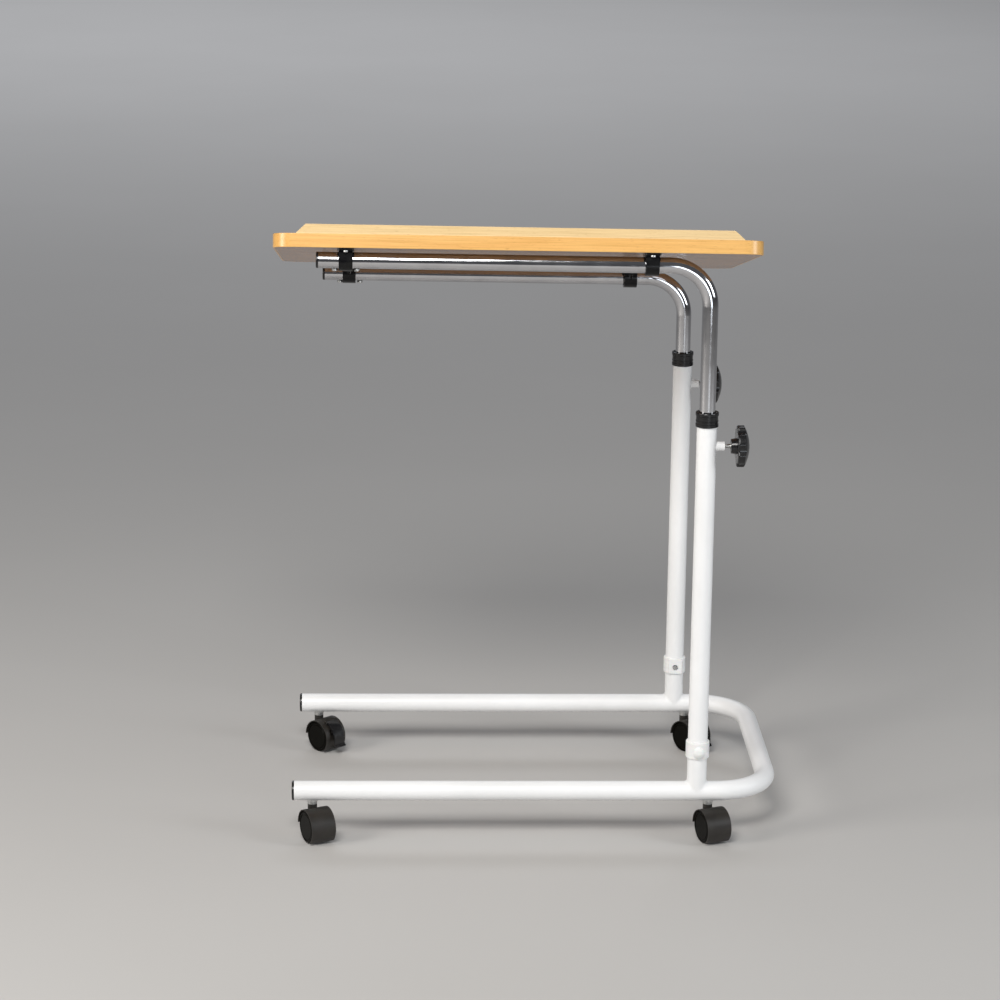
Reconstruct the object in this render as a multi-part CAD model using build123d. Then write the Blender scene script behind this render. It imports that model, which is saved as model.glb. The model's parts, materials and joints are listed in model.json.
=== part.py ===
from build123d import *
import os
from math import cos, pi, radians, sin, tan

# Overbed table: a white U-shaped tube base on four twin-wheel casters, two columns that each hold a
# chrome arm, and a wooden top that hangs on both arms and tilts when one arm stands higher.
# Millimetres. +Z is up and z = 0 is the floor. +X runs from the free end, which goes over the bed,
# to the columns. +Y runs from the front (higher) long edge of the top to the rear (lower) one.

# ---------------------------------------------------------------- driving dimensions
LEG_SPACING = 350.0          # between the two base legs, and so between the columns and the arms
MIDLINE_Y = 5.0              # halfway between the legs, with y = 0 at the middle of the whole table
BASE_LEFT_X = -301.8         # open ends of the base, with x = 0 at the middle of the whole table
BASE_AXIS_Z = 63.7           # centreline of the base tube above the floor
BASE_LENGTH = 611.0          # open ends to the centreline of the cross tube
BASE_BEND = 70.0             # centreline radius of the base bends
COLUMN_OFFSET = 516.0        # columns from the open ends
COLUMN_TOP_Z = 559.3
SEAM_Z = 110.7               # where a column stands on its stub post
COLLAR_Z = 119.7             # middle of the collar that hides the seam, and the joint bolt
KNOB_Z = 517.4
FRONT_ARM_Z = 744.1          # corner of the front arm's centreline
TILT = 13.3                  # slope of the top, rear edge down, degrees
ARM_RISE = 0.6               # the arms climb this much toward their free ends, degrees

FRAME_TUBE = 25.0            # outside diameter of base and columns
FRAME_WALL = 1.5
ARM_TUBE = 20.0
ARM_WALL = 1.2
ARM_BEND = 50.0
ARM_REACH = 483.3            # column axis to the free end of an arm
ARM_LEG = 470.0              # corner of the centreline to the lower end
RUNNING = 0.1                # radial clearance of sliding fits
PRESS_GAP = 0.05             # radial gap of the close fits inside one body

BOARD_LENGTH = 600.0
BOARD_DEPTH = 400.0
BOARD_THICK = 17.0
BOARD_CORNER = 25.0
BOARD_LEFT = 536.0           # left edge of the board from the column axis
BOARD_LIFT = 14.2            # arm centreline to the underside of the board
SKIN = 1.0                   # laminate above and backing below the core
BAND = 1.5                   # edge band
LIP_LENGTH = 546.0
LIP_WIDTH = 24.0
LIP_HEIGHT = 12.0
LIP_BEVEL = 10.0
LIP_SEAT = 0.6               # lips stand on the core, a little inside the band
LIP_SHIFT = 1.8              # the lips stand this far toward the columns from the middle of the board

SADDLE_OFFSETS = {"left": -447.0, "right": -73.0}   # along the arm from the column axis
SADDLE_STRAP = 17.0
SADDLE_WALL = 3.0
SADDLE_PLATE = (20.0, 39.6, 3.0)
SADDLE_SCREW = 16.3          # screws from the middle of the plate, one in front and one behind
SLOT_DROP = 0.7              # room above and below the rear arm in its saddles

CASTER_OFFSETS = {"left": 26.0, "right": 531.0}
CASTER_TRAIL_ANGLE = {"front_left": -64.6, "front_right": -68.6, "rear_left": -48.8, "rear_right": -50.0}
WHEEL_DIAMETER = 42.0
WHEEL_WIDTH = 10.8
HOOD_RADIUS = 22.9
HOOD_WIDTH = 32.8
TRAIL = 14.0
STEM_DIAMETER = 8.0
AXLE_DIAMETER = 6.0

# ---------------------------------------------------------------- derived places
COLUMN_X = BASE_LEFT_X + COLUMN_OFFSET
FRAME_R = FRAME_TUBE / 2
FRAME_BORE = FRAME_R - FRAME_WALL
ARM_R = ARM_TUBE / 2
SIDES = {"front": -1, "rear": 1}
FROM_BASE = (Align.CENTER, Align.CENTER, Align.MIN)
FROM_TOP = (Align.CENTER, Align.CENTER, Align.MAX)
LEG_Y = {side: MIDLINE_Y + sign * LEG_SPACING / 2 for side, sign in SIDES.items()}
ARM_Z = {"front": FRONT_ARM_Z, "rear": FRONT_ARM_Z - LEG_SPACING * tan(radians(TILT))}
ARM_SPAN = LEG_SPACING / cos(radians(TILT))         # between the arms, along the sloping board
OVERHANG = (BOARD_DEPTH - ARM_SPAN) / 2

# The board frame has its x axis on the front arm's centreline, its y axis along the slope of the board
# and its origin at the front arm's corner.
RISE = Rot(0, ARM_RISE, 0)
BOARD_FRAME = Pos(COLUMN_X, LEG_Y["front"], FRONT_ARM_Z) * RISE * Rot(-TILT, 0, 0)
BOARD_MID_X = BOARD_LENGTH / 2 - BOARD_LEFT
BOARD_MID_Y = ARM_SPAN / 2


def save(name, shape):
    """Write one sub-part, checking that it is made of whole solids."""
    solids = shape.solids()
    assert solids and all(s.volume > 0 for s in solids), name
    part = solids[0] if len(solids) == 1 else Compound(children=solids)
    export_step(part, f"parts/{name}.step")


def rod(radius, start, end):
    """A round bar between two points."""
    path = Line(start, end)
    return extrude(Plane(origin=start, z_dir=path % 0) * Circle(radius), path.length)


def bent_tube(points, bend, outer, wall):
    """A round tube along a path with filleted corners."""
    path = FilletPolyline(*points, radius=bend)
    ring = Circle(outer) - Circle(outer - wall)
    return sweep(Plane(origin=path @ 0, z_dir=path % 0) * ring, path=path)


def turned(points):
    """A solid of revolution about Z from an (r, z) outline."""
    outline = make_face(Polyline(*[(r, 0, z) for r, z in points], close=True))
    return revolve(outline, axis=Axis.Z)


def bore_plug(radius, bore, head, reach):
    """A push-in tube plug: a domed head on +Z above z = 0 and a ribbed, hollow stem below it."""
    stem = turned([(bore - 3, 0), (bore - 3, -reach), (bore - 1.2, -reach), (bore - 0.6, -reach + 2),
                   (bore - 0.6, 0)])
    rib = turned([(bore - 0.7, -4), (bore - PRESS_GAP, -5), (bore - PRESS_GAP, -6), (bore - 0.7, -7)])
    cap = fillet(Cylinder(radius, head, align=FROM_BASE).edges().group_by(
        Axis.Z)[-1], head * 0.45)
    return cap + stem + rib + Pos(0, 0, -7) * rib


# ---------------------------------------------------------------- base frame
SOCKET_R = 7.0
SOCKET_TOP = BASE_AXIS_Z + FRAME_BORE - 1.5


def base_frame_tube():
    """One tube bent into a U, drilled underneath for the caster sockets."""
    cross_x = BASE_LEFT_X + BASE_LENGTH
    left = BASE_LEFT_X + 3
    corners = [(left, LEG_Y["front"], BASE_AXIS_Z), (cross_x, LEG_Y["front"], BASE_AXIS_Z),
               (cross_x, LEG_Y["rear"], BASE_AXIS_Z), (left, LEG_Y["rear"], BASE_AXIS_Z)]
    tube = bent_tube(corners, BASE_BEND, FRAME_R, FRAME_WALL)
    for x, y, name in caster_places():
        tube -= rod(SOCKET_R, (x, y, BASE_AXIS_Z - FRAME_R - 5), (x, y, BASE_AXIS_Z))
    return tube


def caster_places():
    """Stem positions of the four casters, with their names."""
    return [(BASE_LEFT_X + offset, LEG_Y[side], f"{side}_{end}")
            for side in SIDES for end, offset in CASTER_OFFSETS.items()]


def caster_sockets():
    """Steel bushes welded up into the base tube for the caster stems."""
    sockets = []
    foot_z = BASE_AXIS_Z - FRAME_R - 0.8
    for x, y, name in caster_places():
        body = rod(SOCKET_R - PRESS_GAP, (x, y, foot_z), (x, y, SOCKET_TOP - 4))
        body -= rod(STEM_DIAMETER / 2 + RUNNING / 2, (x, y, foot_z - 1), (x, y, SOCKET_TOP - 6))
        sockets.append(body)
    return Compound(children=sockets)


def base_end_plugs():
    plug = bore_plug(FRAME_R, FRAME_BORE, 3, 13)
    return Compound(children=[Pos(BASE_LEFT_X + 3, y, BASE_AXIS_Z) * Rot(0, -90, 0) * plug
                              for y in LEG_Y.values()])


def stub_post(side):
    """Short post coped onto the base leg and welded there."""
    x, y = COLUMN_X, LEG_Y[side]
    post = rod(FRAME_R, (x, y, BASE_AXIS_Z), (x, y, SEAM_Z)) - rod(FRAME_BORE, (x, y, 0), (x, y, SEAM_Z + 1))
    return post - rod(FRAME_R + 0.02, (x - 40, y, BASE_AXIS_Z), (x + 40, y, BASE_AXIS_Z))


# ---------------------------------------------------------------- columns and their joints
BOLT_R = 3.0
SPIGOT_REACH = 25.0
HUB_HEAD = 2.8


def across(side, radius, start, end, z):
    """A bar along Y through a column; start and end are distances outward from the column axis."""
    sign = SIDES[side]
    return rod(radius, (COLUMN_X, LEG_Y[side] + sign * start, z), (COLUMN_X, LEG_Y[side] + sign * end, z))


def column_tube(side):
    """Straight tube with the joint bolt hole below and the clamp screw hole above."""
    x, y = COLUMN_X, LEG_Y[side]
    tube = rod(FRAME_R, (x, y, SEAM_Z + 0.1), (x, y, COLUMN_TOP_Z))
    tube -= rod(FRAME_BORE, (x, y, SEAM_Z - 1), (x, y, COLUMN_TOP_Z + 1))
    tube -= across(side, BOLT_R + 0.15, 20, -20, COLLAR_Z)
    return tube - rod(STUD_R + 1, (x, y, KNOB_Z), (x + 20, y, KNOB_Z))


def column_spigots():
    """Inner sleeves, tapped for the joint bolts, that locate the columns on the stub posts."""
    outer = FRAME_BORE - PRESS_GAP
    sleeves = []
    for side in SIDES:
        x, y = COLUMN_X, LEG_Y[side]
        low, high = COLLAR_Z - SPIGOT_REACH, COLLAR_Z + SPIGOT_REACH
        sleeve = rod(outer, (x, y, low), (x, y, high)) - rod(outer - 2, (x, y, low - 1), (x, y, high + 1))
        sleeves.append(sleeve - across(side, BOLT_R + 0.15, 20, -20, COLLAR_Z))
    return Compound(children=sleeves)


COLLAR_R = 15.0
COLLAR_RISE = 12.0           # above and below the bolt
COLLAR_DROP = 9.8
CAP_R = 7.2
CAP_BASE = 16.4
PAD_WIDTH = 18.0             # flat pad round the bolt's tip, on the side between the columns
PAD_FACE = 14.9


def joint_collar(side):
    """Plastic sleeve over the seam: a round seat for the bolt head outside, a flat pad for its tip inside."""
    x, y, sign = COLUMN_X, LEG_Y[side], SIDES[side]
    low, high = COLLAR_Z - COLLAR_DROP, COLLAR_Z + COLLAR_RISE
    ring = fillet(rod(COLLAR_R, (x, y, low), (x, y, high)).edges(), 1.2)
    pad = Box(PAD_WIDTH, PAD_FACE, high - low - 2.4, align=(Align.CENTER, Align.MIN, Align.CENTER))
    ring += Pos(x, y, (low + high) / 2) * Rot(0, 0, 0 if sign < 0 else 180) * pad
    ring += across(side, CAP_R, 10, CAP_BASE, COLLAR_Z)
    ring -= rod(FRAME_R + PRESS_GAP, (x, y, low - 1), (x, y, high + 1))
    ring -= across(side, CAP_R - 1.3, 5, 20, COLLAR_Z)
    return ring - across(side, BOLT_R + 0.8, -5, -20, COLLAR_Z)


def joint_bolts():
    """Bolts that pull each column onto its spigot; the tips show in the collar windows."""
    bolts = []
    for side in SIDES:
        bolt = across(side, 5.2, FRAME_R + 0.05, FRAME_R + HUB_HEAD, COLLAR_Z)
        bolt += across(side, BOLT_R, FRAME_R + 1, -PAD_FACE - 0.4, COLLAR_Z)
        bolts.append(bolt - across(side, 1.7, FRAME_R + 1.2, FRAME_R + 4, COLLAR_Z))
    return Compound(children=bolts)


def bolt_caps():
    """Domed caps pressed into the collar seats over the bolt heads."""
    rim = CAP_R - 1.3 - PRESS_GAP
    dome_rise = 2.6
    dome_radius = (CAP_R ** 2 + dome_rise ** 2) / (2 * dome_rise)
    dome = Pos(0, 0, dome_rise - dome_radius) * Sphere(dome_radius)
    dome &= Pos(0, 0, 10) * Cylinder(CAP_R, 20)
    skirt = Pos(0, 0, -0.35) * (Cylinder(rim, 0.9) - Cylinder(rim - 0.8, 0.9))
    cap = dome + skirt
    return Compound(children=[Pos(COLUMN_X, LEG_Y[side] + sign * (CAP_BASE + 0.02), COLLAR_Z)
                              * Rot(-90 * sign, 0, 0) * cap for side, sign in SIDES.items()])


FERRULE_R = 14.5
FERRULE_HEIGHT = 18.5
FERRULE_TOP = COLUMN_TOP_Z + 2


def column_ferrule(side):
    """Cap on the column's mouth with a long liner that guides the arm."""
    arm_bore = ARM_R + RUNNING
    liner = FRAME_BORE - PRESS_GAP
    foot = FERRULE_TOP - FERRULE_HEIGHT
    outline = [(arm_bore, FERRULE_TOP - 1.6), (arm_bore + 0.9, FERRULE_TOP - 0.3),
               (arm_bore + 1.5, FERRULE_TOP), (FERRULE_R - 1.0, FERRULE_TOP),
               (FERRULE_R - 0.3, FERRULE_TOP - 0.3), (FERRULE_R, FERRULE_TOP - 1.0),
               (FERRULE_R, FERRULE_TOP - 4), (FERRULE_R - 0.7, FERRULE_TOP - 4.7),
               (FERRULE_R - 0.7, foot + 8.2), (FERRULE_R - 0.3, foot + 7.8), (FERRULE_R - 0.3, foot + 6.6),
               (FERRULE_R - 0.7, foot + 6.2), (FERRULE_R - 0.7, foot + 4.2), (FERRULE_R - 0.2, foot + 3.6),
               (FERRULE_R - 0.2, foot + 0.4), (FERRULE_R - 0.6, foot),
               (FRAME_R + PRESS_GAP, foot), (FRAME_R + PRESS_GAP, COLUMN_TOP_Z + 0.05),
               (liner, COLUMN_TOP_Z + 0.05), (liner, FERRULE_TOP - 32), (arm_bore, FERRULE_TOP - 32)]
    return Pos(COLUMN_X, LEG_Y[side], 0) * turned(outline)


# ---------------------------------------------------------------- clamps
STUD_R = 3.0
BOSS_R = 5.75
BOSS_REACH = 22.5
STUD_GAP = 0.25              # tip of the clamp screw to the arm
HUB_START = 30.5
HUB_LENGTH = 7.0
KNOB_THICK = 16.0
KNOB_R = 26.0
KNOB_DOME = 7.0              # fall of the domed face from its middle to the rim
STUD_GRIP = 14.0             # length of the screw inside the knob


def clamp_bosses():
    """Threaded bosses welded to the outer side of the columns."""
    bosses = []
    for side in SIDES:
        x, y = COLUMN_X, LEG_Y[side]
        boss = rod(BOSS_R, (x, y, KNOB_Z), (x + BOSS_REACH, y, KNOB_Z))
        boss -= rod(FRAME_R + 0.02, (x, y, KNOB_Z - 20), (x, y, KNOB_Z + 20))
        bosses.append(boss - rod(STUD_R + PRESS_GAP, (x, y, KNOB_Z), (x + 40, y, KNOB_Z)))
    return Compound(children=bosses)


def clamp_stud(side):
    """Screw that presses on the arm, with a knurled end moulded into the knob."""
    x, y = COLUMN_X, LEG_Y[side]
    tip = x + ARM_R + STUD_GAP
    stud = rod(STUD_R, (tip + 1, y, KNOB_Z), (x + HUB_START + STUD_GRIP, y, KNOB_Z))
    return stud + rod(STUD_R - 0.8, (tip, y, KNOB_Z), (tip + 1.5, y, KNOB_Z))


def star_knob(side):
    """Six-lobed hand knob with a domed face and a round hub."""
    lobes = 6
    scallop_r, scallop_at = 8.2, KNOB_R + 4.6
    outline = Circle(KNOB_R)
    for i in range(lobes):
        angle = 2 * pi * (i + 0.5) / lobes
        outline -= Pos(scallop_at * cos(angle), scallop_at * sin(angle)) * Circle(scallop_r)
    outline = fillet(outline.vertices(), 3)
    head = extrude(outline, KNOB_THICK)
    dome_radius = (KNOB_R ** 2 + KNOB_DOME ** 2) / (2 * KNOB_DOME)
    head &= Pos(0, 0, KNOB_THICK - dome_radius) * Sphere(dome_radius)
    head = fillet(head.edges().group_by(Axis.Z)[0], 2)
    knob = head + Pos(0, 0, -HUB_LENGTH / 2) * Cone(9, 10, HUB_LENGTH)
    knob -= Pos(0, 0, -HUB_LENGTH) * Cylinder(STUD_R + 0.01, STUD_GRIP, align=FROM_BASE)
    return Pos(COLUMN_X + HUB_START + HUB_LENGTH, LEG_Y[side], KNOB_Z) * Rot(0, 90, 0) * knob


# ---------------------------------------------------------------- arms
def arm_point(side, along, drop=0.0):
    """A point on an arm; along is measured from its corner toward the column side (+X)."""
    place = Pos(COLUMN_X, LEG_Y[side], ARM_Z[side]) * RISE * Pos(along, 0, -drop)
    return tuple(place.position)


STOP_GAP = 13.3              # stop screws each side of the left saddle
STOP_HEAD = (3.6, 3.2)
STOP_SHANK = (1.75, 6.0)


def stop_screw(side, along):
    """Pan-head screw in the underside of an arm, as drawn in the arm's own direction."""
    head_r, head_h = STOP_HEAD
    shank_r, shank_h = STOP_SHANK
    head = Cylinder(head_r, head_h, align=FROM_TOP)
    head = fillet(head.edges().group_by(Axis.Z)[0], 1.0)
    recess = Pos(0, 0, -head_h) * (Box(3.4, 0.9, 1.6) + Box(0.9, 3.4, 1.6))
    shank = Cylinder(shank_r, shank_h, align=FROM_BASE)
    place = Pos(COLUMN_X, LEG_Y[side], ARM_Z[side]) * RISE * Pos(along, 0, -ARM_R)
    return place * (head - recess + shank)


def stop_screws(side):
    left = SADDLE_OFFSETS["left"]
    return Compound(children=[stop_screw(side, left - STOP_GAP), stop_screw(side, left + STOP_GAP)])


def arm_tube(side):
    """Chrome tube that stands in the column and turns over the bed."""
    corner = arm_point(side, 0)
    foot = (corner[0], corner[1], corner[2] - ARM_LEG)
    tube = bent_tube([foot, corner, arm_point(side, -ARM_REACH + 3)], ARM_BEND, ARM_R, ARM_WALL)
    for offset in (-STOP_GAP, STOP_GAP):
        along = SADDLE_OFFSETS["left"] + offset
        tube -= rod(STOP_SHANK[0] + 0.02, arm_point(side, along, ARM_R + 3), arm_point(side, along, ARM_R - 4))
    return tube


def arm_end_plug(side):
    plug = bore_plug(ARM_R, ARM_R - ARM_WALL, 3, 16)
    return Pos(*arm_point(side, -ARM_REACH + 3)) * RISE * Rot(0, -90, 0) * plug


def arm_foot_bush(side):
    """Plastic shoe on the arm's lower end that slides in the column."""
    slide = FRAME_BORE - PRESS_GAP
    bore = ARM_R - ARM_WALL
    outline = [(ARM_R + 0.02, 20), (slide, 20), (slide, -1), (slide - 1, -2), (bore - 3, -2), (bore - 3, 12),
               (bore - PRESS_GAP, 12), (bore - PRESS_GAP, -0.05), (ARM_R + 0.02, -0.05)]
    return Pos(COLUMN_X, LEG_Y[side], ARM_Z[side] - ARM_LEG) * turned(outline)


# ---------------------------------------------------------------- top
def board_slab(inset, low, high):
    """A slice of the board with its rounded outline brought in by inset; heights above its underside."""
    outline = RectangleRounded(BOARD_LENGTH - 2 * inset, BOARD_DEPTH - 2 * inset, BOARD_CORNER - inset)
    return Pos(BOARD_MID_X, BOARD_MID_Y, BOARD_LIFT + low) * extrude(outline, high - low)


def lip(edge):
    """Bevelled wooden strip along one long edge; edge is -1 for the front and 1 for the rear."""
    base_z = BOARD_THICK - SKIN
    base = Rectangle(LIP_LENGTH, LIP_WIDTH)
    top = Rectangle(LIP_LENGTH - 2 * (LIP_BEVEL + 1), LIP_WIDTH - 2 * LIP_BEVEL)
    step = SKIN + 0.8
    body = extrude(base, step) + Pos(0, 0, step) * loft([base, Pos(0, 0, LIP_HEIGHT - step + SKIN) * top])
    middle = edge * (BOARD_DEPTH / 2 - BAND - LIP_SEAT - LIP_WIDTH / 2)
    return Pos(BOARD_MID_X + LIP_SHIFT, BOARD_MID_Y + middle, BOARD_LIFT + base_z) * body


SCREW_R = 1.75
SCREW_DEPTH = 11.0
SCREW_HEAD = (3.0, 2.4)


def saddle_places():
    """Middle of every saddle plate in the board frame, with its name."""
    slot = ARM_SPAN - LEG_SPACING
    return [(offset, 0 if side == "front" else ARM_SPAN - slot / 2, side, f"{end}_{side}")
            for side in SIDES for end, offset in SADDLE_OFFSETS.items()]


def plate_depth(side):
    slot = ARM_SPAN - LEG_SPACING
    return SADDLE_PLATE[1] + (slot if side == "rear" else 0)


def screw_places():
    """Saddle screws in the board frame: two to a plate."""
    return [(x, y + j * (SADDLE_SCREW + (plate_depth(side) - SADDLE_PLATE[1]) / 2))
            for x, y, side, name in saddle_places() for j in (-1, 1)]


def drilled(slab):
    """Pilot holes for the saddle screws."""
    for x, y in screw_places():
        slab -= Pos(x, y, BOARD_LIFT) * Cylinder(SCREW_R + 0.02, 2 * SCREW_DEPTH + 1)
    return slab


def tabletop_core():
    return BOARD_FRAME * drilled(board_slab(BAND, SKIN, BOARD_THICK - SKIN))


def underside_backing():
    return BOARD_FRAME * drilled(board_slab(BAND, 0, SKIN))


def tabletop_laminate():
    """Working surface, cut away where the lips stand on the core."""
    sheet = board_slab(BAND, BOARD_THICK - SKIN, BOARD_THICK)
    for edge in (-1, 1):
        middle = edge * (BOARD_DEPTH / 2 - BAND - LIP_SEAT - LIP_WIDTH / 2)
        sheet -= Pos(BOARD_MID_X + LIP_SHIFT, BOARD_MID_Y + middle, BOARD_LIFT + BOARD_THICK) * Box(
            LIP_LENGTH + 0.1, LIP_WIDTH + 0.1, 4 * SKIN)
    return BOARD_FRAME * sheet


def edge_banding():
    ring = board_slab(0, 0, BOARD_THICK) - board_slab(BAND, -1, BOARD_THICK + 1)
    edges = ring.edges().filter_by(lambda e: e.length > 1).group_by(Axis.Z)
    outer = [e for e in edges[0] + edges[-1] if abs(outer_gap(e)) < 0.05]
    return BOARD_FRAME * fillet(outer, 0.6)


def outer_gap(edge):
    """How far the middle of a horizontal edge lies inside the board's outline."""
    p = edge @ 0.5
    dx, dy = abs(p.X - BOARD_MID_X), abs(p.Y - BOARD_MID_Y)
    reach_x, reach_y = BOARD_LENGTH / 2 - BOARD_CORNER, BOARD_DEPTH / 2 - BOARD_CORNER
    if dx > reach_x and dy > reach_y:
        return BOARD_CORNER - ((dx - reach_x) ** 2 + (dy - reach_y) ** 2) ** 0.5
    return min(BOARD_LENGTH / 2 - dx, BOARD_DEPTH / 2 - dy)


def saddle(x, y, side):
    """Tube clamp under the board: round for the front arm, an upright slot for the rear arm."""
    travel = ARM_SPAN - LEG_SPACING if side == "rear" else 0
    drop = SLOT_DROP if side == "rear" else 0
    hole_r = ARM_R + RUNNING + drop
    outer_r = hole_r + SADDLE_WALL
    plate_x, plate_z = SADDLE_PLATE[0], SADDLE_PLATE[2]
    plate = fillet(Box(plate_x, plate_depth(side), plate_z).edges().filter_by(Axis.Z), 3)
    strap = Box(SADDLE_STRAP, 2 * outer_r + travel, BOARD_LIFT - plate_z / 2)
    body = Pos(0, 0, BOARD_LIFT - plate_z / 2) * plate + Pos(0, 0, (BOARD_LIFT - plate_z / 2) / 2) * strap
    body += obround(outer_r, travel, SADDLE_STRAP)
    body -= obround(hole_r, travel, SADDLE_STRAP + 40)
    for screw_x, screw_y in screw_places():
        if abs(screw_x - x) < plate_x and abs(screw_y - y) < plate_depth(side):
            at = Pos(screw_x - x, screw_y - y, BOARD_LIFT)
            body -= at * Cylinder(SCREW_R + PRESS_GAP, 3 * plate_z)
            body -= at * Pos(0, 0, -plate_z) * Cylinder(SCREW_HEAD[0] + 0.15, 2 * BOARD_LIFT, align=FROM_TOP)
    return BOARD_FRAME * Pos(x, y, 0) * body


def obround(radius, travel, length):
    """A bar along X whose ends are round and whose middle is stretched by travel along Y."""
    profile = SlotCenterToCenter(travel, 2 * radius) if travel else Circle(radius)
    return extrude(Plane(origin=(0, 0, 0), x_dir=(0, 1, 0), z_dir=(1, 0, 0)) * profile, length / 2, both=True)


def saddle_screws():
    screws = []
    head_r, head_h = SCREW_HEAD
    top = BOARD_LIFT - SADDLE_PLATE[2]
    for x, y in screw_places():
        head = fillet(Cylinder(head_r, head_h, align=FROM_TOP).edges().group_by(
            Axis.Z)[0], 1.0)
        recess = Pos(0, 0, -head_h) * (Box(3.2, 0.9, 1.6) + Box(0.9, 3.2, 1.6))
        shank = Cylinder(SCREW_R, SADDLE_PLATE[2] + SCREW_DEPTH, align=FROM_BASE)
        screws.append(BOARD_FRAME * Pos(x, y, top) * (head - recess + shank))
    return Compound(children=screws)


# ---------------------------------------------------------------- casters
AXLE_Z = WHEEL_DIAMETER / 2
HOOD_WALL = 1.3
HOOD_END = -50.0             # the hood's lower edge on the trailing side, degrees below level
NECK_TOP = BASE_AXIS_Z - FRAME_R - 4.5
NECK_R = 6.0
WEB = 9.0
WEB_FOOT = -12.0             # lower edge of the web, from the axle
WHEEL_GAP = 0.4
STEM_COLLAR_R = 6.3
STEM_GRIP_R = 3.0            # thinner end of the stem, inside the web

PEDAL_PIVOT = (12.5, 21.6)   # from the axle: along the trail, and up
PEDAL_HALF = 8.5             # half width
PEDAL_BARREL_R = 1.8
PEDAL_PIN_R = 1.2
EAR_R = 2.5
EAR_THICK = 2.0
PAD_ANGLE = 25.0             # where the pads reach through the hood to the treads, degrees above level
PAD_TIP = 23.9
PAD_SIDE = (6.5, 8.5)        # each pad, from the middle of the caster


def caster_frame(x, y, name):
    """Frame on the floor under the stem, with +X pointing to where the wheels trail."""
    return Pos(x, y, 0) * Rot(0, 0, CASTER_TRAIL_ANGLE[name])


HUB = Pos(TRAIL, 0, AXLE_Z)
ALONG_AXLE = HUB * Rot(90, 0, 0)     # local x along the trail, y up, z along the axle


def hood_shell():
    """Roof over both wheels, from the axle's height in front to near the floor behind."""
    shell = Cylinder(HOOD_RADIUS, HOOD_WIDTH) - Cylinder(HOOD_RADIUS - HOOD_WALL, HOOD_WIDTH + 2)
    far = 60
    end = radians(HOOD_END)
    mouth = make_face(Polyline((0, 0), (-far, 0), (-far, -far), (far * cos(end), far * sin(end)), close=True))
    return shell - extrude(mouth, HOOD_WIDTH, both=True)


def caster_hood(braked):
    """Web between the wheels, roof over them and the neck round the stem, in one moulding."""
    web = Cylinder(HOOD_RADIUS - 1, WEB) & Pos(0, 30 + WEB_FOOT, 0) * Box(80, 60, 2 * WEB)
    body = ALONG_AXLE * (hood_shell() + web)
    post = Pos(0, 0, 16) * Cylinder(NECK_R, NECK_TOP - 16, align=FROM_BASE)
    for sign in (-1, 1):
        post -= ALONG_AXLE * Pos(0, 0, sign * (WEB / 2 + 20)) * Cylinder(HOOD_RADIUS - HOOD_WALL, 40)
    body += post
    if braked:
        body += pedal_ears()
        body -= pad_slots()
    body -= ALONG_AXLE * Cylinder(AXLE_DIAMETER / 2 + PRESS_GAP, 60)
    return body - Pos(0, 0, 22) * Cylinder(STEM_GRIP_R + 0.02, 60, align=FROM_BASE)


def pedal_ears():
    """Two ears on the hood that hold the brake pedal's pivot."""
    x, z = PEDAL_PIVOT
    middle = PEDAL_HALF + 0.4 + EAR_THICK / 2
    ear = Pos(x, z, 0) * Cylinder(EAR_R, EAR_THICK)
    ear += Pos(x * 0.92, z * 0.92, 0) * Rot(0, 0, 60) * Box(5, 2 * EAR_R, EAR_THICK)
    ear -= Pos(x, z, 0) * Cylinder(PEDAL_PIN_R + PRESS_GAP, 10)
    ear -= Cylinder(HOOD_RADIUS - HOOD_WALL / 2, 10)
    return ALONG_AXLE * Pos(0, 0, middle) * ear + ALONG_AXLE * Pos(0, 0, -middle) * ear


def pad_slots():
    """Two slots in the roof, one over each tread."""
    near, far = PAD_SIDE
    slot = Rot(0, 0, PAD_ANGLE) * Pos(HOOD_RADIUS, 0, 0) * Box(6, 8, far - near + 1)
    shift = (near + far) / 2
    return ALONG_AXLE * Pos(0, 0, shift) * slot + ALONG_AXLE * Pos(0, 0, -shift) * slot


def brake_pedal():
    """Curved foot pedal behind the hood, with two pads that press on the treads."""
    x, z = PEDAL_PIVOT
    outer = ThreePointArc((13.4, 23.2), (26.6, 11.8), (30.5, -5.5))
    inner = ThreePointArc((28.8, -6.5), (24.9, 10.7), (12.2, 20.4))
    outline = outer + Polyline((30.5, -5.5), (33.7, -8.8), (32.6, -10.1), (28.8, -6.5)) + inner
    outline += Line((12.2, 20.4), (13.4, 23.2))
    plate = extrude(make_face(outline), PEDAL_HALF, both=True)
    barrel = Pos(x, z, 0) * Cylinder(PEDAL_BARREL_R, 2 * PEDAL_HALF)
    pin = Pos(x, z, 0) * Cylinder(PEDAL_PIN_R, 2 * (PEDAL_HALF + 0.2 + EAR_THICK))
    pedal = plate + barrel + pin
    near, far = PAD_SIDE
    pad = Rot(0, 0, PAD_ANGLE) * Pos(PAD_TIP + 2, 0, 0) * Box(4, 3, far - near)
    shift = (near + far) / 2
    pedal += Pos(0, 0, shift) * pad
    pedal += Pos(0, 0, -shift) * pad
    return ALONG_AXLE * pedal


def caster_stem():
    """Swivel pin with the steel collar that carries the table."""
    top = SOCKET_TOP - 7
    shoulder = BASE_AXIS_Z - FRAME_R - 1
    shank = STEM_DIAMETER / 2
    outline = [(0, 22.5), (STEM_GRIP_R, 22.5), (STEM_GRIP_R, NECK_TOP + 0.02), (STEM_COLLAR_R, NECK_TOP + 0.02),
               (STEM_COLLAR_R, shoulder), (shank, shoulder), (shank, top - 1), (shank - 1, top), (0, top)]
    return turned(outline)


def caster_axle():
    return ALONG_AXLE * Cylinder(AXLE_DIAMETER / 2, 2 * (WEB / 2 + WHEEL_GAP + WHEEL_WIDTH) - 3.2)


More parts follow.
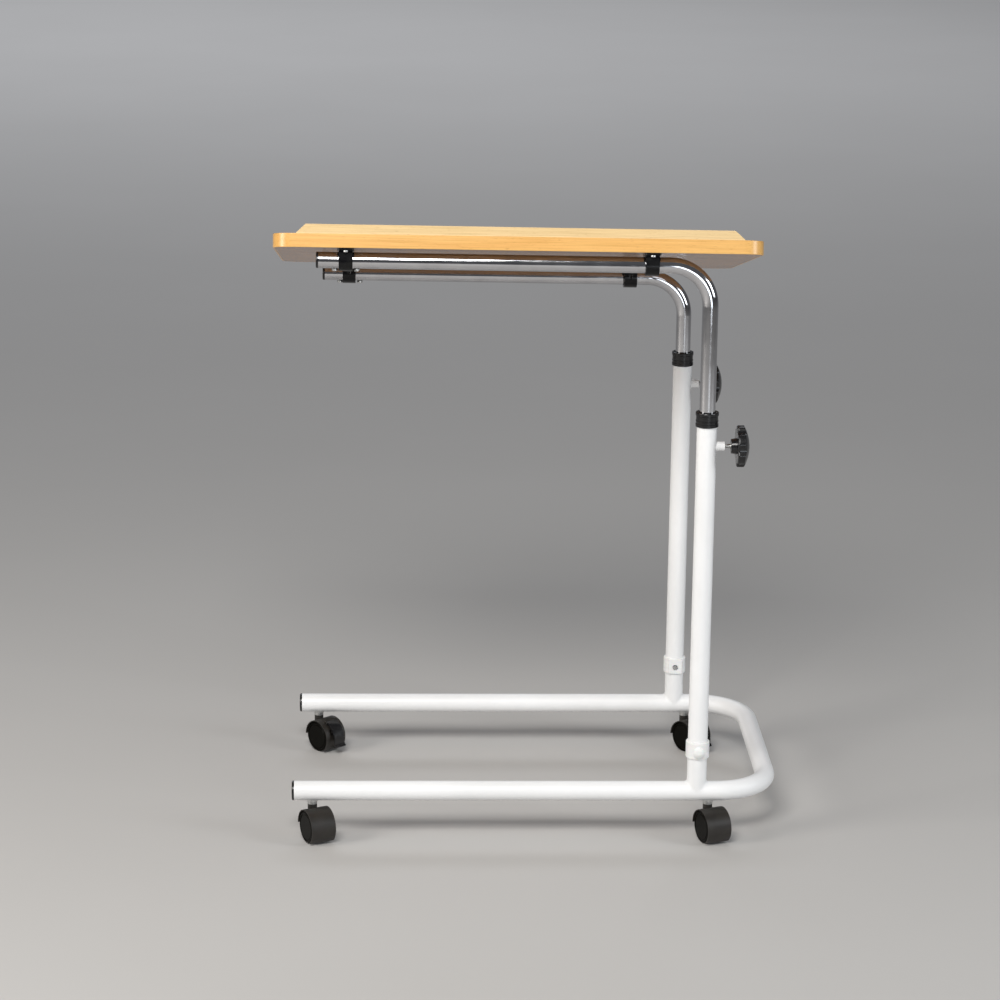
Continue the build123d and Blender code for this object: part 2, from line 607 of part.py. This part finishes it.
def caster_wheel(sign):
    """Wheel with a rounded tread, a flat capped outer face and a hollow inner face."""
    inner = WEB / 2 + WHEEL_GAP
    outer = inner + WHEEL_WIDTH
    r = WHEEL_DIAMETER / 2
    bore = AXLE_DIAMETER / 2 + PRESS_GAP
    outline = [(bore, inner), (6, inner), (6, inner + 5), (r - 4, inner + 5), (r - 4, inner), (r - 1, inner),
               (r, inner + 1.5), (r, outer - 2.6), (r - 0.8, outer - 0.8), (r - 2.4, outer), (r - 3.4, outer),
               (r - 3.8, outer - 0.8), (r - 4.6, outer - 0.8), (r - 5, outer - 0.2), (0, outer - 0.2),
               (0, outer - 1.5), (bore, outer - 1.5)]
    return HUB * Rot(-90 * sign, 0, 0) * turned(outline)


# ---------------------------------------------------------------- write the sub-parts
def main():
    os.makedirs("parts", exist_ok=True)
    save("base_frame_tube", base_frame_tube())
    save("base_end_plugs", base_end_plugs())
    save("caster_sockets", caster_sockets())
    save("column_spigots", column_spigots())
    save("joint_bolts", joint_bolts())
    save("bolt_caps", bolt_caps())
    save("clamp_bosses", clamp_bosses())
    for side in SIDES:
        save(f"{side}_stub_post", stub_post(side))
        save(f"{side}_column_tube", column_tube(side))
        save(f"{side}_joint_collar", joint_collar(side))
        save(f"{side}_column_ferrule", column_ferrule(side))
        save(f"{side}_clamp_stud", clamp_stud(side))
        save(f"{side}_knob", star_knob(side))
        save(f"{side}_arm_tube", arm_tube(side))
        save(f"{side}_arm_end_plug", arm_end_plug(side))
        save(f"{side}_arm_foot_bush", arm_foot_bush(side))
        save(f"{side}_arm_stop_screws", stop_screws(side))
    save("tabletop_core", tabletop_core())
    save("tabletop_laminate", tabletop_laminate())
    save("underside_backing", underside_backing())
    save("edge_banding", edge_banding())
    save("front_lip", BOARD_FRAME * lip(-1))
    save("rear_lip", BOARD_FRAME * lip(1))
    for x, y, side, name in saddle_places():
        save(f"{name}_saddle", saddle(x, y, side))
    save("saddle_screws", saddle_screws())
    for x, y, name in caster_places():
        frame = caster_frame(x, y, name)
        braked = name.startswith("rear")
        save(f"{name}_caster_hood", frame * caster_hood(braked))
        if braked:
            save(f"{name}_brake_pedal", frame * brake_pedal())
        save(f"{name}_caster_stem", frame * caster_stem())
        save(f"{name}_caster_axle", frame * caster_axle())
        save(f"{name}_wheel_left", frame * caster_wheel(-1))
        save(f"{name}_wheel_right", frame * caster_wheel(1))


main()
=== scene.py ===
import json
import math

import bmesh
import bpy
from mathutils import Matrix, Vector


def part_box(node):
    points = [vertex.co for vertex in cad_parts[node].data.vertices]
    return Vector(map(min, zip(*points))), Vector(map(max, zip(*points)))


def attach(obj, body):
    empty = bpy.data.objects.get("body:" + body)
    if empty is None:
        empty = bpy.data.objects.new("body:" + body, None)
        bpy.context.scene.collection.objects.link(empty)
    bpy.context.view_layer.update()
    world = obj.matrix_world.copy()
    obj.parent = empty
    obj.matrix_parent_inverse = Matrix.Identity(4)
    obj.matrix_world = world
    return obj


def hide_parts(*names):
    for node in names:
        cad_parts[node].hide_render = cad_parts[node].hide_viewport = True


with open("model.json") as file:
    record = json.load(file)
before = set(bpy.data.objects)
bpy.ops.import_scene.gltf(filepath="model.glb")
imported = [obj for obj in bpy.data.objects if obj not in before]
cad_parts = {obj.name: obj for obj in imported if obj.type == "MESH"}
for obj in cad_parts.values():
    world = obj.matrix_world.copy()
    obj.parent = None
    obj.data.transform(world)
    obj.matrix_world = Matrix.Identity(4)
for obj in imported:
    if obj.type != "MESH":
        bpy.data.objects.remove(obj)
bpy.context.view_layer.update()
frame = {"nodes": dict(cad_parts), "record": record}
NODES = frame["nodes"]

# ------------------------------------------------------------------ names and slopes of the table
SIDES = ("front", "rear")
ENDS = ("left", "right")
TILT = math.radians(13.3)        # slope of the top, rear edge down
ARM_RISE = math.radians(0.6)     # the arms climb this much toward their free ends


# ------------------------------------------------------------------ node helpers
class Shade:
    """A material under construction: its node tree, its shader and a few shorthand node makers."""

    def __init__(self, name, **sockets):
        self.material = bpy.data.materials.new(name)
        self.material.use_nodes = True
        self.tree = self.material.node_tree
        self.shader = self.tree.nodes["Principled BSDF"]
        for socket, value in sockets.items():
            self.shader.inputs[socket.replace("_", " ")].default_value = value

    def node(self, kind, inputs=None, **settings):
        made = self.tree.nodes.new(kind)
        for key, value in settings.items():
            setattr(made, key, value)
        for key, value in (inputs or {}).items():
            if isinstance(value, bpy.types.NodeSocket):
                self.tree.links.new(value, made.inputs[key])
            else:
                made.inputs[key].default_value = value
        return made

    def link(self, output, socket):
        self.tree.links.new(output, self.shader.inputs[socket])

    def place(self, stretch=(1, 1, 1), turn=(0, 0, 0)):
        """Object coordinates in metres, turned and then stretched."""
        coordinates = self.node("ShaderNodeTexCoord").outputs["Object"]
        turned = self.node("ShaderNodeMapping", {"Vector": coordinates, "Rotation": turn})
        return self.node("ShaderNodeMapping", {"Vector": turned.outputs[0], "Scale": stretch}).outputs[0]

    def noise(self, place, scale, detail=3.0, roughness=0.55, distortion=0.0):
        made = self.node("ShaderNodeTexNoise", {"Vector": place, "Scale": scale, "Detail": detail,
                                                "Roughness": roughness, "Distortion": distortion})
        return made.outputs["Fac"]

    def spread(self, value, low, high, start=0.3, end=0.7):
        made = self.node("ShaderNodeMapRange", {"Value": value, "From Min": start, "From Max": end,
                                                "To Min": low, "To Max": high})
        return made.outputs[0]

    def ramp(self, value, *stops):
        made = self.node("ShaderNodeValToRGB", {"Fac": value})
        points = made.color_ramp.elements
        while len(points) < len(stops):
            points.new(0.5)
        for point, (where, colour) in zip(points, stops):
            point.position = where
            point.color = (*colour, 1)
        return made.outputs[0]

    def mixed(self, factor, first, second, blend="MIX"):
        made = self.node("ShaderNodeMix", data_type="RGBA", blend_type=blend)
        for socket, value in zip((made.inputs[0], made.inputs[6], made.inputs[7]), (factor, first, second)):
            if isinstance(value, bpy.types.NodeSocket):
                self.tree.links.new(value, socket)
            else:
                socket.default_value = value
        return made.outputs[2]

    def bump(self, height, strength, distance, normal=None):
        inputs = {"Height": height, "Strength": strength, "Distance": distance}
        if normal is not None:
            inputs["Normal"] = normal
        return self.node("ShaderNodeBump", inputs).outputs[0]


# ------------------------------------------------------------------ materials
def white_powder_coat():
    """Baked powder paint: faint orange peel, a little uneven gloss and traces of handling."""
    s = Shade("white_powder_coat", Metallic=0.0, IOR=1.5, Coat_Weight=0.1, Coat_Roughness=0.3)
    place = s.place()
    peel = s.noise(place, 620, detail=2)
    grain = s.noise(place, 2600, detail=2)
    haze = s.noise(place, 9, detail=4)
    s.link(s.ramp(haze, (0.3, (0.87, 0.87, 0.865)), (0.7, (0.93, 0.93, 0.93))), "Base Color")
    s.link(s.spread(haze, 0.36, 0.48), "Roughness")
    s.link(s.bump(grain, 0.10, 0.0001, s.bump(peel, 0.22, 0.0003)), "Normal")
    return s.material


def white_plastic():
    """Moulded white plastic of the joint collars and caps, a shade warmer than the paint."""
    s = Shade("white_plastic", IOR=1.47, Subsurface_Weight=0.08, Subsurface_Scale=0.002)
    place = s.place()
    texture = s.noise(place, 1400, detail=2)
    scuff = s.noise(s.place((1, 1, 5)), 60, detail=5)
    s.link(s.ramp(scuff, (0.3, (0.84, 0.835, 0.82)), (0.65, (0.90, 0.895, 0.885))), "Base Color")
    s.link(s.spread(scuff, 0.36, 0.50), "Roughness")
    s.link(s.bump(texture, 0.15, 0.0001), "Normal")
    return s.material


def chrome():
    """Bright plate over steel tube, with faint drawing lines, dust and finger haze."""
    s = Shade("chrome", Metallic=1.0, IOR=2.0)
    lines = s.noise(s.place((6, 260, 260)), 6, detail=3)
    haze = s.noise(s.place(), 38, detail=5, roughness=0.6)
    s.link(s.ramp(haze, (0.25, (0.53, 0.53, 0.55)), (0.7, (0.64, 0.64, 0.66))), "Base Color")
    s.link(s.spread(haze, 0.05, 0.13, 0.35, 0.75), "Roughness")
    s.link(s.bump(lines, 0.02, 0.0001), "Normal")
    return s.material


def zinc_steel():
    """Zinc-plated steel of bolts, stems and axles."""
    s = Shade("zinc_steel", Metallic=1.0)
    mottle = s.noise(s.place(), 420, detail=5, roughness=0.7)
    brushed = s.noise(s.place((1, 1, 14)), 500, detail=2)
    s.link(s.ramp(mottle, (0.3, (0.50, 0.50, 0.50)), (0.7, (0.72, 0.72, 0.70))), "Base Color")
    s.link(s.spread(mottle, 0.24, 0.42), "Roughness")
    s.link(s.bump(brushed, 0.12, 0.0001), "Normal")
    return s.material


def black_plastic(name="black_plastic", gloss=(0.18, 0.28), grain_scale=1500, grain=0.16,
                  tones=((0.006, 0.006, 0.007), (0.014, 0.013, 0.013)), specular=0.5):
    """Black nylon moulding with a fine spark-eroded grain. Dust lifts the first tone to the second."""
    s = Shade(name, IOR=1.5, Specular_IOR_Level=specular)
    place = s.place()
    texture = s.noise(place, grain_scale, detail=3)
    dust = s.noise(place, 75, detail=6, roughness=0.65)
    s.link(s.ramp(dust, (0.35, tones[0]), (0.75, tones[1])), "Base Color")
    s.link(s.spread(dust, *gloss), "Roughness")
    s.link(s.bump(texture, grain, 0.0002), "Normal")
    return s.material


def wheel_nylon():
    """Black wheels: turned tread, dull with floor dust in random patches."""
    s = Shade("wheel_nylon", IOR=1.4, Specular_IOR_Level=0.1)
    place = s.place()
    texture = s.noise(place, 1100, detail=3)
    scratch = s.noise(s.place((3, 3, 1)), 190, detail=6, roughness=0.7)
    s.link(s.ramp(scratch, (0.3, (0.002, 0.002, 0.001)), (0.75, (0.005, 0.004, 0.003))), "Base Color")
    s.link(s.spread(scratch, 0.26, 0.42), "Roughness")
    s.link(s.bump(texture, 0.14, 0.0002), "Normal")
    return s.material


def wood_foil(name, light, dark, gloss):
    """Beech-pattern foil with long soft bands, fine fibres, short dark flecks and a satin lacquer."""
    s = Shade(name, IOR=1.5, Coat_Weight=0.25, Coat_Roughness=0.28)
    turn = (TILT, -ARM_RISE, 0)
    bands = s.noise(s.place((1.1, 22, 22), turn), 2.2, detail=4, distortion=0.5)
    fibres = s.noise(s.place((3, 230, 230), turn), 4.5, detail=3)
    flecks = s.noise(s.place((90, 900, 900), turn), 1.4, detail=1)
    between = [(a + b) / 2 for a, b in zip(light, dark)]
    base = s.ramp(bands, (0.30, dark), (0.55, between), (0.72, light))
    fibre_tint = s.ramp(fibres, (0.35, (0.86, 0.84, 0.80)), (0.62, (1.0, 1.0, 1.0)))
    fleck_tint = s.ramp(flecks, (0.27, (0.70, 0.60, 0.48)), (0.35, (1.0, 1.0, 1.0)))
    grained = s.mixed(1.0, base, fibre_tint, "MULTIPLY")
    s.link(s.mixed(0.55, grained, fleck_tint, "MULTIPLY"), "Base Color")
    s.link(s.spread(fibres, *gloss), "Roughness")
    s.link(s.bump(fibres, 0.10, 0.0002), "Normal")
    return s.material


def particle_board():
    """Pressed chips of the core, seen only where the skins end."""
    s = Shade("particle_board")
    cells = s.node("ShaderNodeTexVoronoi", {"Vector": s.place((1, 1, 3)), "Scale": 420})
    tone = s.noise(s.place(), 240, detail=4)
    s.link(s.ramp(tone, (0.3, (0.40, 0.26, 0.13)), (0.7, (0.66, 0.48, 0.28))), "Base Color")
    s.link(s.spread(tone, 0.72, 0.9), "Roughness")
    s.link(s.bump(cells.outputs["Distance"], 0.4, 0.0005), "Normal")
    return s.material


MATERIALS = {
    "white_powder_coat": white_powder_coat(),
    "white_plastic": white_plastic(),
    "chrome": chrome(),
    "zinc_steel": zinc_steel(),
    "black_plastic": black_plastic(),
    "wheel_nylon": wheel_nylon(),
    "beech_laminate": wood_foil("beech_laminate", (0.93, 0.56, 0.19), (0.80, 0.43, 0.12), (0.26, 0.38)),
    "particle_board": particle_board(),
    "beech_backing": wood_foil("beech_backing", (0.50, 0.26, 0.10), (0.40, 0.19, 0.07), (0.12, 0.22)),
}
# Copies of slot materials: duller hoods; the saddles in a darker black that is painted shade for the board's
# shadow; the lips and top in a paler beech that is painted light on the up-facing lips.
SOFT_BLACK = black_plastic("caster_hood_plastic", gloss=(0.40, 0.54), grain_scale=1900, grain=0.25,
                           tones=((0.015, 0.0125, 0.010), (0.027, 0.023, 0.019)))
# Saddle copy of the black plastic: its darker tones are painted shade for the shadow under the board, not a
# different plastic.
DEEP_BLACK_PAINTED_SHADE = black_plastic("saddle_painted_shade", specular=0.25,
                           tones=((0.002, 0.002, 0.003), (0.006, 0.006, 0.006)))
# Paler copy of the beech foil: on the lips it is painted light for the extra light their up-facing bevels
# catch; it also colours the top.
PALE_BEECH_PAINTED_LIGHT = wood_foil("pale_beech_painted_light", (0.97, 0.74, 0.42), (0.92, 0.66, 0.33), (0.34, 0.46))


def dress(objects, material):
    """Give all of the objects one material."""
    for obj in objects:
        obj.data.materials.clear()
        obj.data.materials.append(material)


def dress_cad_nodes():
    """Every node wears its record's material; the hoods a duller mould, the saddles a darker copy that is
    painted shade, and the lips and top a paler copy that is painted light on the lips.
    """
    for part in frame["record"]["subparts"]:
        dress([NODES[part["node"]]], MATERIALS[part["material_slot"]])
    dress([NODES[f"{side}_{end}_caster_hood"] for side in SIDES for end in ENDS], SOFT_BLACK)
    dress([NODES[f"{end}_{side}_saddle"] for end in ENDS for side in SIDES], DEEP_BLACK_PAINTED_SHADE)
    dress([NODES[name] for name in ("front_lip", "rear_lip", "tabletop_laminate")], PALE_BEECH_PAINTED_LIGHT)


# ------------------------------------------------------------------ mesh helpers
def link_mesh(name, mesh):
    """Make a scene object of a finished mesh, with its faces turned outward."""
    bmesh.ops.recalc_face_normals(mesh, faces=mesh.faces)
    data = bpy.data.meshes.new(name)
    mesh.to_mesh(data)
    mesh.free()
    obj = bpy.data.objects.new(name, data)
    bpy.context.scene.collection.objects.link(obj)
    return obj


def extent(node):
    """Middle of a node's box and half its size along each axis."""
    low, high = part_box(node)
    return (low + high) / 2, (high - low) / 2


# ------------------------------------------------------------------ welds
POST_WELD_LEG = 0.0034
POST_WELD_STEPS = 120
POST_WELD_RIPPLES = 23
POST_WELD_UNEVEN = 0.08   # share of a leg by which it swells and shrinks
POST_WELD_SKIN = 1.004    # share of the tube's radius where the weld starts
BOSS_WELD_LEG = 0.0016
BOSS_WELD_STEPS = 72
BOSS_WELD_RIPPLES = 11
BOSS_WELD_UNEVEN = 0.1
BOSS_WELD_SKIN = 1.01
BOSS_WELD_LIFT = 0.0001   # the weld's foot stands this far off the column
LOWEST_SEAM = 0.10        # share of the radius where the seam of two equal tubes is cut off
CROWN_END = 0.99          # shares of the radius between which the weld fans out over the base tube
FLANK_START = 0.35
CROWN_FAN = 0.16
FLANK_DROP = 0.7          # share of a leg that the weld runs down the flank of the base tube


def strip_mesh(name, rings, material, body):
    """A closed loop of open profiles joined into a smooth strip that rides on a body."""
    mesh = bmesh.new()
    made = [[mesh.verts.new(point) for point in ring] for ring in rings]
    for i, ring in enumerate(made):
        following = made[(i + 1) % len(made)]
        for k in range(len(ring) - 1):
            mesh.faces.new((ring[k], ring[k + 1], following[k + 1], following[k]))
    obj = link_mesh(name, mesh)
    for polygon in obj.data.polygons:
        polygon.use_smooth = True
    dress([obj], MATERIALS[material])
    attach(obj, body)


def weld_profile(on_first, corner, on_second, steps=7):
    """Points of a slightly hollow weld face from one part to the other round the corner between them."""
    points = []
    for k in range(steps + 1):
        t = k / steps
        points.append((1 - t) ** 2 * on_first + 2 * t * (1 - t) * corner + t ** 2 * on_second)
    return points


def post_welds():
    """Fillet welds where the stub posts stand on the base tube, which is as thick as they are."""
    axis_z = extent("base_frame_tube")[0].z
    for side in SIDES:
        centre, half = extent(f"{side}_stub_post")
        radius = half.x
        skin = radius * POST_WELD_SKIN
        base = Vector((centre.x, centre.y, axis_z))
        rings = []
        for i in range(POST_WELD_STEPS):
            angle = 2 * math.pi * i / POST_WELD_STEPS
            x, y = math.cos(angle), math.sin(angle)
            leg = POST_WELD_LEG * (1 + POST_WELD_UNEVEN * math.sin(POST_WELD_RIPPLES * angle))
            seam = radius * max(abs(x), LOWEST_SEAM)
            corner = Vector((skin * x, skin * y, seam))
            up = Vector((skin * x, skin * y, seam + leg))
            reach = radius * x + math.copysign(leg, x) * math.sqrt(abs(x))
            if abs(x) < FLANK_START:
                drop = (1 - abs(x) / FLANK_START) * leg * FLANK_DROP
                out = Vector((reach, math.copysign(skin, y), max(0.0, seam - drop)))
            else:
                slope = math.asin(y)
                fan = 0 if abs(x) > CROWN_END else CROWN_FAN * (1 - abs(slope) / (math.pi / 2))
                turn = slope * (1 + fan)
                out = Vector((reach, skin * math.sin(turn), skin * math.cos(turn)))
            rings.append(weld_profile(base + up, base + corner, base + out))
        strip_mesh(f"{side}_post_weld", rings, "white_powder_coat", "base_frame")


def boss_welds():
    """Fillet welds round the clamp bosses."""
    boss_centre, boss_half = extent("clamp_bosses")
    radius = boss_half.z
    skin = radius * BOSS_WELD_SKIN
    for side in SIDES:
        column, column_half = extent(f"{side}_column_tube")
        base = Vector((column.x, column.y, boss_centre.z))
        rings = []
        for i in range(BOSS_WELD_STEPS):
            angle = 2 * math.pi * i / BOSS_WELD_STEPS
            y, z = math.sin(angle), math.cos(angle)
            leg = BOSS_WELD_LEG * (1 + BOSS_WELD_UNEVEN * math.sin(BOSS_WELD_RIPPLES * angle))
            wide = radius + leg
            seam = math.sqrt(column_half.x ** 2 - (radius * y) ** 2)
            foot = math.sqrt(column_half.x ** 2 - (wide * y) ** 2)
            up = base + Vector((seam + leg, skin * y, skin * z))
            corner = base + Vector((seam, skin * y, skin * z))
            out = base + Vector((foot + BOSS_WELD_LIFT, wide * y, wide * z))
            rings.append(weld_profile(up, corner, out))
        strip_mesh(f"{side}_boss_weld", rings, "white_powder_coat", "base_frame")


# ------------------------------------------------------------------ clamp screws
THREAD_PITCH = 0.001
THREAD_DEPTH = 0.0006
THREAD_SIDES = 28
RINGS_PER_TURN = 4
PILOT_RINGS = 5           # rings at the tip that are turned down below the thread
PILOT_DEPTH = 0.0002
END_GAP = 0.0002          # the threaded screw stays this far inside the plain stud's ends
CREST_GAP = 0.00002


def thread_radius(ring, side, root, crest):
    """Radius of the thread at one point of one ring."""
    phase = (ring / RINGS_PER_TURN - side / THREAD_SIDES) % 1.0
    radius = root + (crest - root) * (1 - abs(2 * phase - 1))
    return min(radius, root - PILOT_DEPTH) if ring < PILOT_RINGS else radius


def threaded_screws():
    """The clamp screws with a real thread in place of the plain studs."""
    for side in SIDES:
        centre, half = extent(f"{side}_clamp_stud")
        crest = half.z - CREST_GAP
        root = crest - THREAD_DEPTH
        length = 2 * (half.x - END_GAP)
        steps = int(length / THREAD_PITCH * RINGS_PER_TURN)
        mesh = bmesh.new()
        rings = []
        for i in range(steps + 1):
            x = centre.x - length / 2 + length * i / steps
            ring = []
            for k in range(THREAD_SIDES):
                angle = 2 * math.pi * k / THREAD_SIDES
                radius = thread_radius(i, k, root, crest)
                ring.append(mesh.verts.new((x, centre.y + radius * math.cos(angle),
                                            centre.z + radius * math.sin(angle))))
            rings.append(ring)
        for first, second in zip(rings, rings[1:]):
            for k in range(THREAD_SIDES):
                following = (k + 1) % THREAD_SIDES
                mesh.faces.new((first[k], first[following], second[following], second[k]))
        mesh.faces.new(rings[0])
        mesh.faces.new(rings[-1])
        obj = link_mesh(f"{side}_threaded_screw", mesh)
        dress([obj], MATERIALS["zinc_steel"])
        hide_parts(f"{side}_clamp_stud")
        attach(obj, f"{side}_screw")


# ------------------------------------------------------------------ studio
CAMERA_PLACE = Vector((-0.1714, -3.9812, 1.4666))
CAMERA_YAW = math.radians(1.956)
CAMERA_PITCH = math.radians(14.966)
CAMERA_ROLL = math.radians(0.697)
CAMERA_LENS = 114.2
FLOOR_REACH = 40


def camera():
    """A long lens in front of the table, looking a little down."""
    level = math.cos(CAMERA_PITCH)
    ahead = Vector((math.sin(CAMERA_YAW) * level, math.cos(CAMERA_YAW) * level, -math.sin(CAMERA_PITCH)))
    right = Vector((math.cos(CAMERA_YAW), -math.sin(CAMERA_YAW), 0))
    up = right.cross(ahead)
    rolled_right = math.cos(CAMERA_ROLL) * right + math.sin(CAMERA_ROLL) * up
    rolled_up = math.cos(CAMERA_ROLL) * up - math.sin(CAMERA_ROLL) * right
    data = bpy.data.cameras.new("camera")
    data.sensor_width = 36
    data.lens = CAMERA_LENS
    obj = bpy.data.objects.new("camera", data)
    rotation = Matrix((rolled_right, rolled_up, -ahead)).transposed()
    obj.matrix_world = Matrix.Translation(CAMERA_PLACE) @ rotation.to_4x4()
    bpy.context.scene.collection.objects.link(obj)
    bpy.context.scene.camera = obj


def floor():
    """A plain pale floor that reaches past every view."""
    s = Shade("studio_floor", Roughness=0.8)
    tone = s.noise(s.place(), 1.2, detail=3)
    s.link(s.ramp(tone, (0.3, (0.545, 0.53, 0.51)), (0.7, (0.56, 0.545, 0.525))), "Base Color")
    s.link(s.bump(s.noise(s.place(), 350, detail=4), 0.05, 0.0003), "Normal")
    data = bpy.data.meshes.new("studio_floor")
    corners = [(x * FLOOR_REACH, y * FLOOR_REACH, 0) for x, y in ((-1, -1), (1, -1), (1, 1), (-1, 1))]
    data.from_pydata(corners, [], [(0, 1, 2, 3)])
    data.materials.append(s.material)
    obj = bpy.data.objects.new("studio_floor", data)
    bpy.context.scene.collection.objects.link(obj)


def soft_light(name, place, aim, size, watts, colour=(1, 1, 1)):
    data = bpy.data.lights.new(name, "AREA")
    data.shape = "RECTANGLE"
    data.size, data.size_y = size
    data.energy = watts
    data.color = colour
    obj = bpy.data.objects.new(name, data)
    obj.location = place
    obj.rotation_mode = "QUATERNION"
    obj.rotation_quaternion = (Vector(aim) - Vector(place)).to_track_quat("-Z", "Y")
    bpy.context.scene.collection.objects.link(obj)


def lights():
    """Soft boxes in front and at both sides, a wash on the floor behind and a dim surround."""
    target = (0, 0, 0.45)
    soft_light("key", (-0.6, -2.3, 2.5), target, (1.3, 1.0), 62, (1.0, 0.985, 0.96))
    soft_light("front", (0.9, -2.9, 0.55), (0.1, 0, 0.45), (0.9, 0.8), 11, (0.88, 0.94, 1.0))
    soft_light("left", (-2.4, -1.1, 1.25), target, (0.9, 1.1), 30, (1.0, 0.97, 0.93))
    soft_light("right", (2.6, -1.2, 1.25), target, (0.8, 1.1), 23, (0.92, 0.96, 1.0))
    soft_light("back_wash", (-1.5, 8.5, 6.5), (-1.0, 10.0, 0), (9, 4), 415, (0.90, 0.935, 1.0))
    world = bpy.data.worlds.new("studio")
    world.use_nodes = True
    world.node_tree.nodes["Background"].inputs["Color"].default_value = (0.10, 0.102, 0.108, 1)
    world.node_tree.nodes["Background"].inputs["Strength"].default_value = 1.0
    bpy.context.scene.world = world
    bpy.context.scene.view_settings.view_transform = "Standard"


dress_cad_nodes()
post_welds()
boss_welds()
threaded_screws()
camera()
floor()
lights()
